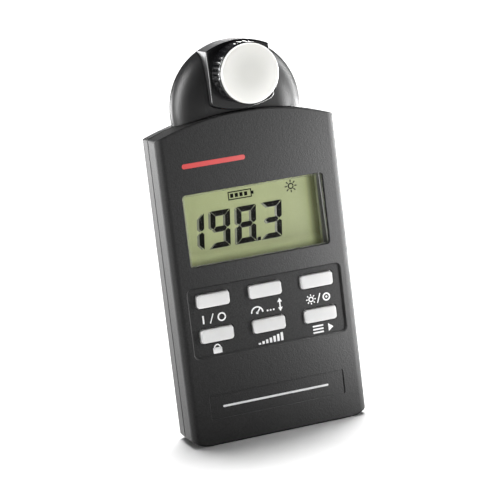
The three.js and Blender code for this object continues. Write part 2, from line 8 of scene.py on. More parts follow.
import bmesh
import bpy
from mathutils import Matrix, Vector


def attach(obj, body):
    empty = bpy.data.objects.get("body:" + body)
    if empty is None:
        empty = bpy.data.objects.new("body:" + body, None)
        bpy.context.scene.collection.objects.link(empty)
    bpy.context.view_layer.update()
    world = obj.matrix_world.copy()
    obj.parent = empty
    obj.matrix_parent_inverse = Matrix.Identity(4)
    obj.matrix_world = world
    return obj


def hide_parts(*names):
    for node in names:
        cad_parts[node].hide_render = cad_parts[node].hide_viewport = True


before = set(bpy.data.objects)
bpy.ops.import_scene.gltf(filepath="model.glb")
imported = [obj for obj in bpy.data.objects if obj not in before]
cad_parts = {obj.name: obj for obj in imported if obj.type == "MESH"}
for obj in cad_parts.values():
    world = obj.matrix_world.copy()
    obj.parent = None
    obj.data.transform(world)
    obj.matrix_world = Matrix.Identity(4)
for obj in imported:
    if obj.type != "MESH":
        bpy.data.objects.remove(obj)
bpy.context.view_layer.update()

MM = 0.001
GAP = 0.3  # between neighbours that are not joined, as in the CAD

# Case, as in the CAD
HALF_WIDTH, FRONT, BACK, HEIGHT = 31.45, -9.7, 9.7, 109.5
PARTING = -0.8
CROWN_RADIUS, FOOT_RADIUS, FOOT_FLAT = 90, 9.2, 25.2
FRONT_EDGE, BACK_EDGE, DRAFT, WALL = 2.6, 3, 0.7, 2
INNER_FRONT, INNER_BACK = -7.9, 7.9
WINDOW = dict(x=0, z=72.7, width=49.6, height=24.3, radius=1.2)
KEY_FIELD = dict(x=0, z=41.75, width=54.2, height=23.3, radius=1.5)
LABEL = dict(x=0, z=12.85, width=48.2, height=8.2, radius=0.5)
FIELD_DEPTH, LABEL_DEPTH = 0.8, 0.3
INK_PROUD, INK_SUNK = 0.03, 0.05
NOTCH_HALF, NOTCH_LOW, NOTCH_FRONT, NOTCH_BACK = 16.3, 100, -6.5, 6.1
KEYS = {
    "key_power": (-18.53, 49), "key_auto": (0, 49), "key_unit": (18.53, 49),
    "key_hold": (-18.53, 37.15), "key_range": (0, 37.15), "key_memory": (18.53, 37.15),
}
KEY_SIZE = dict(width=11.6, height=4.7, radius=1.1)
CASE_SCREWS = [(-24.6, 98.5), (24.6, 98.5), (-24.6, 24.8), (24.6, 24.8)]
HEAD_SCREWS = [(-13.6, 112), (13.6, 112)]
DOOR_LOW, DOOR_HIGH, DOOR_HALF = 3.4, 18.6, 26
DOOR_Z, DOOR_HEIGHT = (DOOR_LOW + DOOR_HIGH) / 2, DOOR_HIGH - DOOR_LOW
HEAD_Z, HEAD_RADIUS, HEAD_FLAT = 110.2, 22.6, 12.5
HEAD_FRONT, HEAD_BACK, HEAD_WALL = -8, 6.8, 1.8
SENSOR_Z = 122.3


# ---- mesh helpers

def mesh_object(name, verts, faces):
    """A mesh object from points in millimetres."""
    mesh = bpy.data.meshes.new(name)
    mesh.from_pydata([(x * MM, y * MM, z * MM) for x, y, z in verts], [], faces)
    made = bmesh.new()
    made.from_mesh(mesh)
    bmesh.ops.recalc_face_normals(made, faces=made.faces)
    made.to_mesh(mesh)
    made.free()
    obj = bpy.data.objects.new(name, mesh)
    bpy.context.scene.collection.objects.link(obj)
    return obj


def loft(name, rings, closed=False):
    """Joins rings of equally many points; the ends are capped, or joined if closed."""
    count = len(rings[0])
    verts = [p for ring in rings for p in ring]
    spans = len(rings) if closed else len(rings) - 1
    faces = []
    for r in range(spans):
        a, b = r * count, ((r + 1) % len(rings)) * count
        for i in range(count):
            j = (i + 1) % count
            faces.append((a + i, a + j, b + j, b + i))
    if not closed:
        faces.append(tuple(range(count)))
        faces.append(tuple(range(len(verts) - count, len(verts))))
    return mesh_object(name, verts, faces)


def at_y(outline, y):
    return [(x, y, z) for x, z in outline]


def prism(name, outline, y0, y1):
    return loft(name, [at_y(outline, y0), at_y(outline, y1)])


def box(name, x0, x1, y0, y1, z0, z1):
    return prism(name, [(x0, z0), (x1, z0), (x1, z1), (x0, z1)], y0, y1)


def boolean(base, tool, operation="DIFFERENCE"):
    """Applies one boolean to base and removes the tool."""
    step = base.modifiers.new("step", "BOOLEAN")
    step.operation = operation
    step.solver = "MANIFOLD"
    step.object = tool
    bpy.context.view_layer.update()
    graph = bpy.context.evaluated_depsgraph_get()
    result = bpy.data.meshes.new_from_object(base.evaluated_get(graph))
    base.modifiers.remove(step)
    old = base.data
    base.data = result
    bpy.data.meshes.remove(old)
    spent = tool.data
    bpy.data.objects.remove(tool)
    bpy.data.meshes.remove(spent)
    return base


def cut(base, *tools):
    for tool in tools:
        boolean(base, tool)
    return base


def join(base, *others):
    for other in others:
        boolean(base, other, "UNION")
    return base


def arc(x, z, radius, start, end, steps):
    """Points on an arc, angles in radians, both ends included."""
    angles = [start + (end - start) * i / steps for i in range(steps + 1)]
    return [(x + radius * math.cos(a), z + radius * math.sin(a)) for a in angles]


def rounded_rect(x, z, width, height, radius, grow=0.0, steps=8):
    half_w, half_h = width / 2 + grow, height / 2 + grow
    radius = max(radius + grow, 0.05)
    corners = [(1, -1, -0.5), (1, 1, 0), (-1, 1, 0.5), (-1, -1, 1)]
    points = []
    for sx, sz, turn in corners:
        points += arc(x + sx * (half_w - radius), z + sz * (half_h - radius), radius,
                      turn * math.pi, (turn + 0.5) * math.pi, steps)
    return points


def quarter(radius, steps):
    """(inset, depth) pairs of a rounded edge, from the side wall to the face."""
    pairs = []
    for i in range(steps + 1):
        angle = (i / steps) * math.pi / 2
        pairs.append((radius * (1 - math.cos(angle)), radius * (1 - math.sin(angle))))
    return pairs


def soft_plate(name, outline, y0, y1, front=0.0, back=0.0, steps=5):
    """A plate whose outline(inset) edge is rounded at y0 (front) and at y1 (back)."""
    rings = []
    for inset, depth in (reversed(quarter(front, steps)) if front else [(0, 0)]):
        rings.append(at_y(outline(inset), y0 + depth))
    for inset, depth in (quarter(back, steps) if back else [(0, 0)]):
        rings.append(at_y(outline(inset), y1 - depth))
    return loft(name, rings)


def mouth_cutter(name, outline, mouth, floor, rim, foot=0.0, steps=4):
    """Cuts a hole or recess from the face at y=mouth to y=floor, and rounds its rim.

    outline(grow) gives the hole's edge; foot rounds the recess where wall meets floor.
    """
    toward = 1 if floor > mouth else -1
    rings = [at_y(outline(rim), mouth - toward * 1.0)]
    for grow, depth in reversed(quarter(rim, steps)):
        rings.append(at_y(outline(grow), mouth + toward * depth))
    if foot:
        for inset, depth in quarter(foot, steps):
            rings.append(at_y(outline(-inset), floor - toward * depth))
    else:
        rings.append(at_y(outline(0), floor))
    return loft(name, rings)


def turned(name, profile, x, z, steps):
    """Turns (radius, y) points about the line along Y through (x, z)."""
    rings = []
    for radius, y in profile:
        rings.append([
            (x + radius * math.cos(2 * math.pi * i / steps), y,
             z + radius * math.sin(2 * math.pi * i / steps))
            for i in range(steps)
        ])
    return loft(name, rings)


def bar(name, radius, x, z, y0, y1, steps=48):
    return turned(name, [(radius, y0), (radius, y1)], x, z, steps)


def finish_shape(obj, angle=32):
    """Smooth shading with creases, and normals that keep the flats flat."""
    mesh = obj.data
    for polygon in mesh.polygons:
        polygon.use_smooth = True
    mesh.set_sharp_from_angle(angle=math.radians(angle))
    weighted = obj.modifiers.new("flats", "WEIGHTED_NORMAL")
    weighted.keep_sharp = True
    weighted.weight = 80
    return obj


def piece(obj, name, body, material, replaces=(), angle=32):
    """Names a finished piece, gives it its material and fixes it to its body."""
    obj.name = name
    finish_shape(obj, angle)
    obj.data.materials.clear()
    obj.data.materials.append(material)
    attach(obj, body)
    if replaces:
        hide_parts(*replaces)
    return obj


# ---- materials

def principled(name, color, roughness, metallic=0.0, **sockets):
    material = bpy.data.materials.new(name)
    material.use_nodes = True
    shader = material.node_tree.nodes["Principled BSDF"]
    shader.inputs["Base Color"].default_value = (*color, 1)
    shader.inputs["Roughness"].default_value = roughness
    shader.inputs["Metallic"].default_value = metallic
    for socket, value in sockets.items():
        shader.inputs[socket.replace("_", " ")].default_value = value
    return material, material.node_tree.nodes, material.node_tree.links, shader


def noise(nodes, links, scale, detail=3.0, roughness=0.55, stretch=(1, 1, 1)):
    """Noise over the object's own coordinates; scale is in features per metre."""
    where = nodes.new("ShaderNodeTexCoord")
    spread = nodes.new("ShaderNodeMapping")
    spread.inputs["Scale"].default_value = stretch
    grain = nodes.new("ShaderNodeTexNoise")
    grain.inputs["Scale"].default_value = scale
    grain.inputs["Detail"].default_value = detail
    grain.inputs["Roughness"].default_value = roughness
    links.new(where.outputs["Object"], spread.inputs["Vector"])
    links.new(spread.outputs["Vector"], grain.inputs["Vector"])
    return grain


def ramp(nodes, links, source, low, high, stops=(0.3, 0.7)):
    """Maps a value to a colour between low and high."""
    band = nodes.new("ShaderNodeValToRGB")
    elements = band.color_ramp.elements
    elements[0].position, elements[1].position = stops
    elements[0].color = (*low, 1)
    elements[1].color = (*high, 1)
    links.new(source, band.inputs["Fac"])
    return band.outputs["Color"]


def spread_of(nodes, links, source, low, high):
    """Maps 0..1 to low..high."""
    span = nodes.new("ShaderNodeMapRange")
    span.inputs["To Min"].default_value = low
    span.inputs["To Max"].default_value = high
    links.new(source, span.inputs["Value"])
    return span.outputs["Result"]


def bump(nodes, links, shader, source, height):
    """Bump of the given height in metres."""
    relief = nodes.new("ShaderNodeBump")
    relief.inputs["Distance"].default_value = height
    relief.inputs["Strength"].default_value = 1.0
    links.new(source, relief.inputs["Height"])
    links.new(relief.outputs["Normal"], shader.inputs["Normal"])


def shade(color, factor):
    return tuple(c * factor for c in color)


CLOUDS_PER_METRE, LINES_PER_METRE = 90, 900


def moulded(name, color, roughness, grain_size, grain_height,
            tone=0.12, mottle=0.06, speckled=False, **sockets):
    """Moulded plastic, rubber or ink: fine grain, faint tone and roughness variation.

    grain_size and grain_height are in millimetres. A speckled one varies in tone with
    its grain, others in large soft clouds.
    """
    material, nodes, links, shader = principled(name, color, roughness, **sockets)
    grain = noise(nodes, links, 1 / (grain_size * MM), 2.5, 0.6)
    cloud = grain if speckled else noise(nodes, links, CLOUDS_PER_METRE, 4, 0.6)
    tint = ramp(nodes, links, cloud.outputs["Fac"], shade(color, 1 - tone), shade(color, 1 + tone))
    dullness = spread_of(nodes, links, grain.outputs["Fac"], roughness - mottle, roughness + mottle)
    links.new(tint, shader.inputs["Base Color"])
    links.new(dullness, shader.inputs["Roughness"])
    bump(nodes, links, shader, grain.outputs["Fac"], grain_height * MM)
    return material


def brushed(name, color, roughness, stretch):
    """Rolled or drawn metal with fine lines."""
    material, nodes, links, shader = principled(name, color, roughness, 1.0)
    lines = noise(nodes, links, LINES_PER_METRE, 5, 0.6, stretch)
    tint = ramp(nodes, links, lines.outputs["Fac"], shade(color, 0.85), shade(color, 1.1))
    dullness = spread_of(nodes, links, lines.outputs["Fac"], roughness * 0.6, roughness * 1.5)
    links.new(tint, shader.inputs["Base Color"])
    links.new(dullness, shader.inputs["Roughness"])
    bump(nodes, links, shader, lines.outputs["Fac"], 0.003 * MM)
    return material


CHARCOAL = (0.008, 0.008, 0.0082)
HEAD_CHARCOAL = (0.010, 0.010, 0.0103)
FIELD_CHARCOAL = (0.026, 0.026, 0.0262)
case_plastic = moulded("case_plastic", CHARCOAL, 0.62, 0.5, 0.1, 0.4, speckled=True,
                       Specular_IOR_Level=0.15)
head_plastic = moulded("head_plastic", HEAD_CHARCOAL, 0.44, 0.5, 0.03,
                       Specular_IOR_Level=0.16)
gloss_black = moulded("gloss_black", (0.008, 0.008, 0.009), 0.16, 0.9, 0.003, 0.1, 0.03)
block_gloss = moulded("block_gloss", (0.006, 0.006, 0.0065), 0.16, 0.9, 0.003, 0.1, 0.03,
                      Specular_IOR_Level=0.25)
block_matt = moulded("block_matt", (0.05, 0.05, 0.051), 0.5, 0.4, 0.012,
                     Specular_IOR_Level=0.16)
key_plastic = moulded("key_plastic", (0.76, 0.76, 0.755), 0.5, 0.3, 0.004, 0.03,
                      Specular_IOR_Level=0.15)
field_matt = moulded("field_matt", FIELD_CHARCOAL, 0.7, 0.5, 0.08, 0.3, speckled=True,
                     Specular_IOR_Level=0.08)
inner_black = moulded("inner_black", (0.012, 0.012, 0.012), 0.6, 0.3, 0.01)
silicone = moulded("silicone", (0.25, 0.26, 0.27), 0.75, 0.5, 0.006)
window_step = moulded("window_step", (0.10, 0.105, 0.09), 0.4, 0.6, 0.004)
# Pale olive for a painted highlight at the display's right end.
lcd_pale = moulded("lcd_pale", (0.24, 0.26, 0.15), 0.5, 0.4, 0.004)
# White for print, and also for the painted highlight line at the display's right end.
ink_and_painted_highlight_white = moulded("ink_and_painted_highlight_white", (0.86, 0.86, 0.86), 0.5, 0.2, 0.002, 0.04)
ink_red = moulded("ink_red", (0.62, 0.02, 0.018), 0.45, 0.2, 0.002, 0.04)
segment_black = moulded("segment_black", (0.006, 0.006, 0.004), 0.6, 0.3, 0.001, 0.05,
                        Specular_IOR_Level=0.02)
strip_rubber = moulded("strip_rubber", (0.42, 0.12, 0.16), 0.8, 0.3, 0.01)
chip_epoxy = moulded("chip_epoxy", (0.015, 0.015, 0.017), 0.55, 0.15, 0.01)
capacitor_sleeve = moulded("capacitor_sleeve", (0.02, 0.04, 0.14), 0.3, 0.5, 0.004)
coil_ferrite = moulded("coil_ferrite", (0.03, 0.03, 0.032), 0.7, 0.25, 0.02)
lead_red = moulded("lead_red", (0.45, 0.015, 0.012), 0.4, 0.4, 0.004)
lead_black = moulded("lead_black", (0.012, 0.012, 0.012), 0.4, 0.4, 0.004)
can_metal = brushed("can_metal", (0.55, 0.55, 0.56), 0.3, (1, 1, 8))
contact_metal = brushed("contact_metal", (0.6, 0.6, 0.58), 0.25, (1, 8, 1))
screw_metal = brushed("screw_metal", (0.09, 0.09, 0.095), 0.35, (3, 3, 3))


def board_material():
    """Green solder mask over copper, drawn as a grid of paler raised lines."""
    material, nodes, links, shader = principled("board_green", (0.02, 0.14, 0.05), 0.35)
    where = nodes.new("ShaderNodeTexCoord")
    tracks = nodes.new("ShaderNodeTexBrick")
    tracks.inputs["Scale"].default_value = 260
    tracks.inputs["Color1"].default_value = (0.015, 0.11, 0.04, 1)
    tracks.inputs["Color2"].default_value = (0.02, 0.14, 0.05, 1)
    tracks.inputs["Mortar"].default_value = (0.05, 0.24, 0.09, 1)
    tracks.inputs["Mortar Size"].default_value = 0.03
    upright = nodes.new("ShaderNodeMapping")
    upright.inputs["Rotation"].default_value = (math.pi / 2, 0, 0)
    links.new(where.outputs["Object"], upright.inputs["Vector"])
    links.new(upright.outputs["Vector"], tracks.inputs["Vector"])
    links.new(tracks.outputs["Color"], shader.inputs["Base Color"])
    bump(nodes, links, shader, tracks.outputs["Fac"], 0.02 * MM)
    return material


def ribbon_material():
    """Amber film with copper tracks running along it."""
    material, nodes, links, shader = principled("ribbon_film", (0.6, 0.28, 0.06), 0.3)
    where = nodes.new("ShaderNodeTexCoord")
    tracks = nodes.new("ShaderNodeTexWave")
    tracks.bands_direction = "X"
    tracks.inputs["Scale"].default_value = 330
    links.new(where.outputs["Object"], tracks.inputs["Vector"])
    film, copper = (0.55, 0.24, 0.05), (0.30, 0.10, 0.02)
    tint = ramp(nodes, links, tracks.outputs["Fac"], film, copper, (0.4, 0.6))
    links.new(tint, shader.inputs["Base Color"])
    bump(nodes, links, shader, tracks.outputs["Fac"], 0.02 * MM)
    return material


def cell_material():
    """Printed foil: a dark sleeve with a gold end, which starts at gold_from on X."""
    material, nodes, links, shader = principled("cell_jacket", (0.5, 0.4, 0.1), 0.28, 0.5)
    gold_from, blend = 9.5 * MM, 0.5 * MM
    sleeve, gold = (0.03, 0.03, 0.035), (0.60, 0.42, 0.11)
    where = nodes.new("ShaderNodeTexCoord")
    axes = nodes.new("ShaderNodeSeparateXYZ")
    links.new(where.outputs["Object"], axes.inputs["Vector"])
    share = nodes.new("ShaderNodeMapRange")
    share.inputs["From Min"].default_value = gold_from
    share.inputs["From Max"].default_value = gold_from + blend
    links.new(axes.outputs["X"], share.inputs["Value"])
    tint = ramp(nodes, links, share.outputs["Result"], sleeve, gold, (0, 1))
    links.new(tint, shader.inputs["Base Color"])
    scuffs = noise(nodes, links, 700, 4, 0.6)
    dullness = spread_of(nodes, links, scuffs.outputs["Fac"], 0.18, 0.4)
    links.new(dullness, shader.inputs["Roughness"])
    bump(nodes, links, shader, scuffs.outputs["Fac"], 0.004 * MM)
    return material


def diffuser_material():
    """Milky white plastic that lets a little light in, with painted shade that darkens it about its
    centre.
    """
    material, nodes, links, shader = principled(
        "diffuser_white", (0.80, 0.80, 0.77), 0.38, Subsurface_Weight=0.2, Subsurface_Scale=1.0)
    shader.inputs["Subsurface Radius"].default_value = (2 * MM, 2 * MM, 1.8 * MM)
    inner_radius, outer_radius = 2 * MM, 9.2 * MM
    # Painted shade: the centre colour is darker than the rim.
    centre, rim = (0.675, 0.675, 0.64), (0.83, 0.825, 0.79)
    where = nodes.new("ShaderNodeTexCoord")
    axes = nodes.new("ShaderNodeMapping")
    axes.vector_type = "POINT"
    axes.inputs["Location"].default_value = (0, 0, -SENSOR_Z * MM)
    axes.inputs["Scale"].default_value = (1, 0, 1)
    reach = nodes.new("ShaderNodeVectorMath")
    reach.operation = "LENGTH"
    links.new(where.outputs["Object"], axes.inputs["Vector"])
    links.new(axes.outputs["Vector"], reach.inputs[0])
    share = nodes.new("ShaderNodeMapRange")
    share.interpolation_type = "SMOOTHSTEP"
    share.inputs["From Min"].default_value = inner_radius
    share.inputs["From Max"].default_value = outer_radius
    links.new(reach.outputs["Value"], share.inputs["Value"])
    tint = ramp(nodes, links, share.outputs["Result"], centre, rim, (0, 1))
    links.new(tint, shader.inputs["Base Color"])
    grain = noise(nodes, links, 1500, 2)
    bump(nodes, links, shader, grain.outputs["Fac"], 0.002 * MM)
    return material


def lcd_material():
    """Olive reflector, with painted light at its left and lower edges and a painted shadow at its
    right end.
    """
    material, nodes, links, shader = principled(
        "lcd_olive", (0.36, 0.42, 0.22), 0.5, Specular_IOR_Level=0.1)
    where = nodes.new("ShaderNodeTexCoord")
    axes = nodes.new("ShaderNodeSeparateXYZ")
    links.new(where.outputs["Object"], axes.inputs["Vector"])

    def along(axis, start, end, first, last):
        """Goes smoothly from first to last between two places (mm) on an axis."""
        change = nodes.new("ShaderNodeMapRange")
        change.interpolation_type = "SMOOTHSTEP"
        change.inputs["From Min"].default_value = start * MM
        change.inputs["From Max"].default_value = end * MM
        change.inputs["To Min"].default_value = first
        change.inputs["To Max"].default_value = last
        links.new(axes.outputs[axis], change.inputs["Value"])
        return change.outputs["Result"]

    fibre = noise(nodes, links, 2200, 3, 0.6)
    tone = ramp(nodes, links, fibre.outputs["Fac"], (0.395, 0.440, 0.222), (0.437, 0.482, 0.246))
    # Painted shadow: towards the right end the olive is mixed with near-black, standing in for the
    # shade there.
    mix = nodes.new("ShaderNodeMix")
    mix.data_type = "RGBA"
    mix.inputs["B"].default_value = (0.035, 0.037, 0.015, 1)
    links.new(along("X", 19.5, 22.6, 0, 0.78), mix.inputs["Factor"])
    links.new(tone, mix.inputs["A"])
    # Painted light: the olive is made up to 1.3 times lighter towards the left edge and up to 1.9
    # times towards the lower edge, against the shade of the window's walls.
    edges = nodes.new("ShaderNodeMath")
    edges.operation = "MULTIPLY"
    links.new(along("X", -18.5, -25.5, 1, 1.3), edges.inputs[0])
    links.new(along("Z", 65.0, 60.5, 1, 1.9), edges.inputs[1])
    lift = nodes.new("ShaderNodeVectorMath")
    lift.operation = "SCALE"
    links.new(mix.outputs["Result"], lift.inputs["Vector"])
    links.new(edges.outputs["Value"], lift.inputs["Scale"])
    links.new(lift.outputs["Vector"], shader.inputs["Base Color"])
    bump(nodes, links, shader, fibre.outputs["Fac"], 0.002 * MM)
    return material


def clear_material(name, color, alpha, roughness=0.06):
    """Clear moulded plastic with faint flow variation."""
    material, nodes, links, shader = principled(name, color, roughness, Alpha=alpha,
                                                Specular_IOR_Level=0.25)
    flow = noise(nodes, links, 60, 2)
    links.new(spread_of(nodes, links, flow.outputs["Fac"], roughness * 0.6, roughness * 1.4),
              shader.inputs["Roughness"])
    return material


cell_jacket = cell_material()
board_green = board_material()
ribbon_film = ribbon_material()
diffuser_white = diffuser_material()
lcd_olive = lcd_material()
window_clear = clear_material("window_clear", (0.02, 0.02, 0.018), 0.03)
# Paler, half-clear colour for the pane's bevel: a painted highlight along its edge.
window_edge = clear_material("window_edge", (0.6, 0.62, 0.52), 0.35, 0.15)
filter_green = clear_material("filter_green", (0.25, 0.5, 0.3), 0.8)
# Painted shadow colour for the shadows of the LCD segments.
lcd_painted_shadow = moulded("lcd_painted_shadow", (0.11, 0.125, 0.065), 0.5, 0.3, 0.001, 0.05)


# ---- case outlines

def case_outline(inset, fine=1, low=None):
    """The case seen from the front, made smaller all round by inset, its bottom at low."""
    half, foot, crown = HALF_WIDTH - inset, FOOT_RADIUS - inset, CROWN_RADIUS - inset
    foot_z = foot + (inset if low is None else low)
    reach = math.acos((half - FOOT_FLAT) / foot)
    crown_z = HEIGHT - CROWN_RADIUS
    corner = max(1.3 - inset, 0.4)
    corner_x = half - corner
    corner_z = crown_z + math.sqrt((crown - corner) ** 2 - corner_x ** 2)
    lean = math.atan2(corner_z - crown_z, corner_x)
    points = arc(FOOT_FLAT, foot_z, foot, -math.pi / 2, -reach, 16 * fine)
    points += arc(corner_x, corner_z, corner, 0, lean, 6 * fine)
    points += arc(0, crown_z, crown, lean, math.pi - lean, 32 * fine)[1:-1]
    points += arc(-corner_x, corner_z, corner, math.pi - lean, math.pi, 6 * fine)
    points += arc(-FOOT_FLAT, foot_z, foot, math.pi + reach, 1.5 * math.pi, 16 * fine)
    return points


def section_column(name, inset, parting, back_round):
    """The front shell's section seen from above, drawn through the whole height."""
    half = HALF_WIDTH - inset
    front = INNER_FRONT if inset else FRONT
    radius = max(FRONT_EDGE - inset, 0.6)
    outline = arc(half - radius, front + radius, radius, -math.pi / 2, 0, 14)
    if back_round:
        outline += arc(half - back_round, parting - back_round, back_round, 0, math.pi / 2, 4)
        outline += arc(-half + back_round, parting - back_round, back_round,
                       math.pi / 2, math.pi, 4)
    else:
        outline += [(half, parting), (-half, parting)]
    outline += arc(-half + radius, front + radius, radius, math.pi, 1.5 * math.pi, 14)
    return loft(name, [[(x, y, z) for x, y in outline] for z in (-1, HEIGHT + 1)])


def block_outline(grow):
    """The sensor block seen from the front, made larger all round by grow."""
    steps = 14
    half, top = 10.95 + grow, 24 + grow
    low, shoulder = 110.1, 113.5
    turn = math.asin(half / top)
    points = arc(0, 132.9 - 24, top, math.pi / 2 - turn, math.pi / 2 + turn, 24)

    def curve(a, b, c):
        steps_t = [i / steps for i in range(steps + 1)]
        return [tuple((1 - t) ** 2 * p + 2 * t * (1 - t) * q + t * t * r
                      for p, q, r in zip(a, b, c)) for t in steps_t]

    points += curve((-half, shoulder), (-half, low + 2.1 - grow), (-half + 3, low + 1.3 - grow))
    points += curve((-half + 3, low + 1.3 - grow), (0, low - 1.1 - grow),
                    (half - 3, low + 1.3 - grow))[1:]
    points += curve((half - 3, low + 1.3 - grow), (half, low + 2.1 - grow), (half, shoulder))[1:]
    return points


def rect(spec):
    """outline(grow) for a rounded rectangle."""
    return lambda grow: rounded_rect(grow=grow, **spec)


def key_rect(x, z, extra=0.0):
    return lambda grow: rounded_rect(x, z, KEY_SIZE["width"], KEY_SIZE["height"],
                                     KEY_SIZE["radius"], grow + extra)


# ---- covers

def front_cover():
    edge = PARTING - GAP / 2
    shell = soft_plate("front", case_outline, FRONT, edge, 0.6, 0.25)
    boolean(shell, section_column("section", 0, edge, 0.25), "INTERSECT")
    hollow = prism("hollow", case_outline(WALL), INNER_FRONT, edge + 2)
    boolean(hollow, section_column("inner", WALL, edge + 1, 0), "INTERSECT")
    cut(shell, hollow,
        mouth_cutter("window", rect(WINDOW), FRONT, INNER_FRONT + 1, 0.2),
        mouth_cutter("field", rect(KEY_FIELD), FRONT, FRONT + FIELD_DEPTH, 0.42, 0.15, 1),
        mouth_cutter("label", rect(LABEL), FRONT, FRONT + LABEL_DEPTH, 0.12),
        box("notch", -NOTCH_HALF, NOTCH_HALF, NOTCH_FRONT, edge + 1, NOTCH_LOW, HEIGHT + 2))
    for x, z in KEYS.values():
        cut(shell, mouth_cutter("hole", key_rect(x, z, GAP), FRONT + FIELD_DEPTH,
                                INNER_FRONT + 1, 0.12))
    for x, z in CASE_SCREWS:
        join(shell, bar("boss", 3, x, z, INNER_FRONT - 0.4, -2.5))
        cut(shell, bar("bore", 1.3, x, z, INNER_FRONT + 0.6, 0, 24))
    made = piece(shell, "front_shell", "case", case_plastic, ["front_cover"])
    made.data.materials.append(field_matt)
    for polygon in made.data.polygons:
        depth = polygon.center.y / MM - FRONT
        on_floor = FIELD_DEPTH - 0.2 < depth < FIELD_DEPTH + 0.05
        if on_floor and abs(polygon.center.x) < KEY_FIELD["width"] / 2 * MM:
            polygon.material_index = 1


def parting_lip(outer, inner):
    """A low ring inside the wall of the rear half, so that no light passes the parting gap."""
    foremost, rearmost = PARTING - GAP / 2 + 0.02, PARTING + GAP / 2 + 0.6
    flange_half, flange_top = 19.2, 108
    ring = prism("lip", outer, foremost, rearmost)
    return cut(ring, prism("lip_inside", inner, foremost - 1, rearmost + 1),
               box("lip_notch", -flange_half, flange_half, -3, 3, NOTCH_LOW, flange_top))


def rear_cover():
    edge = PARTING + GAP / 2
    rings = [at_y(case_outline(inset), edge + depth)
             for inset, depth in reversed(quarter(0.45, 5))]
    for inset, depth in quarter(BACK_EDGE, 12):
        rings.append(at_y(case_outline(DRAFT + inset, low=inset), BACK - depth))
    shell = loft("rear", rings)
    hollow = loft("hollow", [
        at_y(case_outline(WALL), edge - 1),
        at_y(case_outline(WALL + DRAFT, low=WALL), INNER_BACK - 1),
        at_y(case_outline(WALL + DRAFT + 1, low=WALL + 1), INNER_BACK),
    ])
    door = rect(dict(x=0, z=DOOR_Z, width=2 * DOOR_HALF + 2 * GAP,
                     height=DOOR_HEIGHT + 2 * GAP, radius=1.8))
    cut(shell, hollow,
        box("notch", -NOTCH_HALF, NOTCH_HALF, edge - 1, NOTCH_BACK, NOTCH_LOW, HEIGHT + 2),
        mouth_cutter("bay", door, BACK, INNER_BACK - 1, 0.2))
    join(shell, parting_lip(case_outline(WALL - 0.1), case_outline(WALL + 0.5)),
         box("rib", -16.5, 16.5, edge + 0.5, INNER_BACK + 0.4, 19.6, 20.9),
         box("hold_low", 27.1, 28.4, -3, INNER_BACK + 0.4, 3.6, 8),
         box("hold_high", 27.1, 28.4, -3, INNER_BACK + 0.4, 14, 18.2))
    for x, z in CASE_SCREWS:
        join(shell, bar("boss", 3.5, x, z, -0.3, INNER_BACK + 0.4))
        cut(shell, turned("well", [(3.0, BACK + 1), (3.0, BACK), (2.82, BACK - 0.08),
                                   (2.75, BACK - 0.25), (2.75, 5.5)], x, z, 48),
            bar("bore", 1.3, x, z, -2, 6, 24))
    piece(shell, "rear_shell", "case", case_plastic, ["rear_cover"])


def battery_cover():
    """The lid, with a thumb hollow at its upper edge and four grip grooves."""
    outline = rect(dict(x=0, z=DOOR_Z, width=2 * DOOR_HALF, height=DOOR_HEIGHT, radius=1.5))
    panel = soft_plate("panel", outline, BACK - 1.6, BACK, 0.1, 0.3)
    thumb = turned("thumb", [(5.3, BACK + 1), (5.3, BACK), (5.05, BACK - 0.12), (4.9, BACK - 0.5),
                             (4.4, BACK - 0.8)], 0, DOOR_HIGH + 1.6, 64)
    cut(panel, thumb)
    lowest_groove, groove_pitch = 6.05, 1.9
    for row in range(4):
        groove = rect(dict(x=0, z=lowest_groove + groove_pitch * row, width=14, height=0.9,
                           radius=0.42))
        cut(panel, mouth_cutter("groove", groove, BACK, BACK - 0.5, 0.12, 0.15))
    piece(panel, "battery_door", "battery_lid", case_plastic, ["battery_cover"])


# ---- head

def head_half(parting, face, toward):
    """One dished half of the head: toward is the way its face looks along Y."""
    steps = 20
    rounding = 0.25

    def cheek(rim, reach):
        points = []
        for i in range(steps + 1):
            angle = (i / steps) * math.pi / 2
            points.append((HEAD_FLAT + (rim - HEAD_FLAT) * math.cos(angle),
                           parting + (reach - parting) * math.sin(angle)))
        return points

    outer = cheek(HEAD_RADIUS, face)
    inner = cheek(HEAD_RADIUS - HEAD_WALL, face - toward * HEAD_WALL)
    outer[0] = (HEAD_RADIUS - rounding, parting)
    outer.insert(1, (HEAD_RADIUS - rounding * 0.3, parting + toward * rounding * 0.3))
    outer.insert(2, (HEAD_RADIUS, parting + toward * rounding))
    profile = [(0.02, face - toward * HEAD_WALL), *reversed(inner), *outer, (0.02, face)]
    return turned("half", profile, 0, HEAD_Z, 128)


def neck_half(parting, wall_y, flange_y):
    """Half of the hollow neck that goes down into the case, with half of its flange."""
    low, high = sorted((parting, wall_y))
    block = box("neck", -16, 16, low, high, 101.5, 112)
    low, high = sorted((parting, flange_y))
    join(block, box("flange", -18.5, 18.5, low, high, 102.5, 105))
    toward = 1 if wall_y > parting else -1
    low, high = sorted((parting - toward, wall_y - toward * 1.5))
    return cut(block, box("inside", -14.5, 14.5, low, high, 90, 120))


def above_case(shell):
    return cut(shell, prism("case", case_outline(-GAP, 2), -12, 12))


def head_front():
    parting = PARTING - GAP / 2
    shell = above_case(head_half(parting, HEAD_FRONT, -1))
    join(shell, neck_half(parting, -6.2, -7.2))
    cut(shell, prism("seat", block_outline(GAP), -12, 0))
    for x, z in HEAD_SCREWS:
        join(shell, bar("boss", 2.3, x, z, -6.6, parting - GAP, 24))
        cut(shell, bar("bore", 1, x, z, -5.6, 0, 16))
    piece(shell, "head_front_half", "case", head_plastic, ["head_front_shell"])


